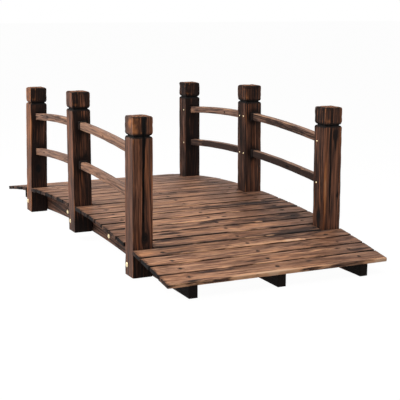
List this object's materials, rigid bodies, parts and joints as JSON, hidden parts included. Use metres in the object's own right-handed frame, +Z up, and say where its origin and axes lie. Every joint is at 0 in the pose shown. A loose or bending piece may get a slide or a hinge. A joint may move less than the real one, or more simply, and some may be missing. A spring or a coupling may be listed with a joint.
{
  "type": "arched garden footbridge",
  "caption": "Small arched timber garden footbridge with grooved square posts, bowed double handrails and a plank deck on sawn arched stringers.",
  "frame": {"origin": "on the ground under the middle of the bridge, at the centre of its footprint", "axes": "+X along the walkway to the front end, +Y across it to the right-hand railing, +Z up"},
  "size_m": [1.532, 0.676, 0.4735],
  "materials": {
    "deck_timber": "flame-charred, brushed and stained softwood",
    "post_timber": "flame-charred and stained softwood",
    "rail_timber": "flame-charred and stained softwood",
    "stringer_timber": "flame-charred and stained softwood",
    "fixings": "yellow passivated zinc on steel, and dulled nail heads"
  },
  "bodies": {
    "root": {"deck_board_01": "deck_timber", "deck_board_02": "deck_timber", "deck_board_03": "deck_timber", "deck_board_04": "deck_timber", "deck_board_05": "deck_timber", "deck_board_06": "deck_timber", "deck_board_07": "deck_timber", "deck_board_08": "deck_timber", "deck_board_09": "deck_timber", "deck_board_10": "deck_timber", "deck_board_11": "deck_timber", "deck_board_12": "deck_timber", "deck_board_13": "deck_timber", "deck_board_14": "deck_timber", "deck_board_15": "deck_timber", "deck_board_16": "deck_timber", "deck_board_17": "deck_timber", "deck_board_18": "deck_timber", "deck_board_19": "deck_timber", "deck_board_20": "deck_timber", "deck_board_21": "deck_timber", "deck_board_22": "deck_timber", "deck_board_23": "deck_timber", "deck_board_24": "deck_timber", "deck_board_25": "deck_timber", "post_left_front": "post_timber", "post_left_middle": "post_timber", "post_left_back": "post_timber", "rail_upper_left_front": "rail_timber", "rail_lower_left_front": "rail_timber", "rail_upper_left_back": "rail_timber", "rail_lower_left_back": "rail_timber", "post_right_front": "post_timber", "post_right_middle": "post_timber", "post_right_back": "post_timber", "rail_upper_right_front": "rail_timber", "rail_lower_right_front": "rail_timber", "rail_upper_right_back": "rail_timber", "rail_lower_right_back": "rail_timber", "stringer_left_front": "stringer_timber", "stringer_left_back": "stringer_timber", "cleat_left": "stringer_timber", "stringer_middle_front": "stringer_timber", "stringer_middle_back": "stringer_timber", "cleat_middle": "stringer_timber", "stringer_right_front": "stringer_timber", "stringer_right_back": "stringer_timber", "cleat_right": "stringer_timber"}
  },
  "joints": []
}
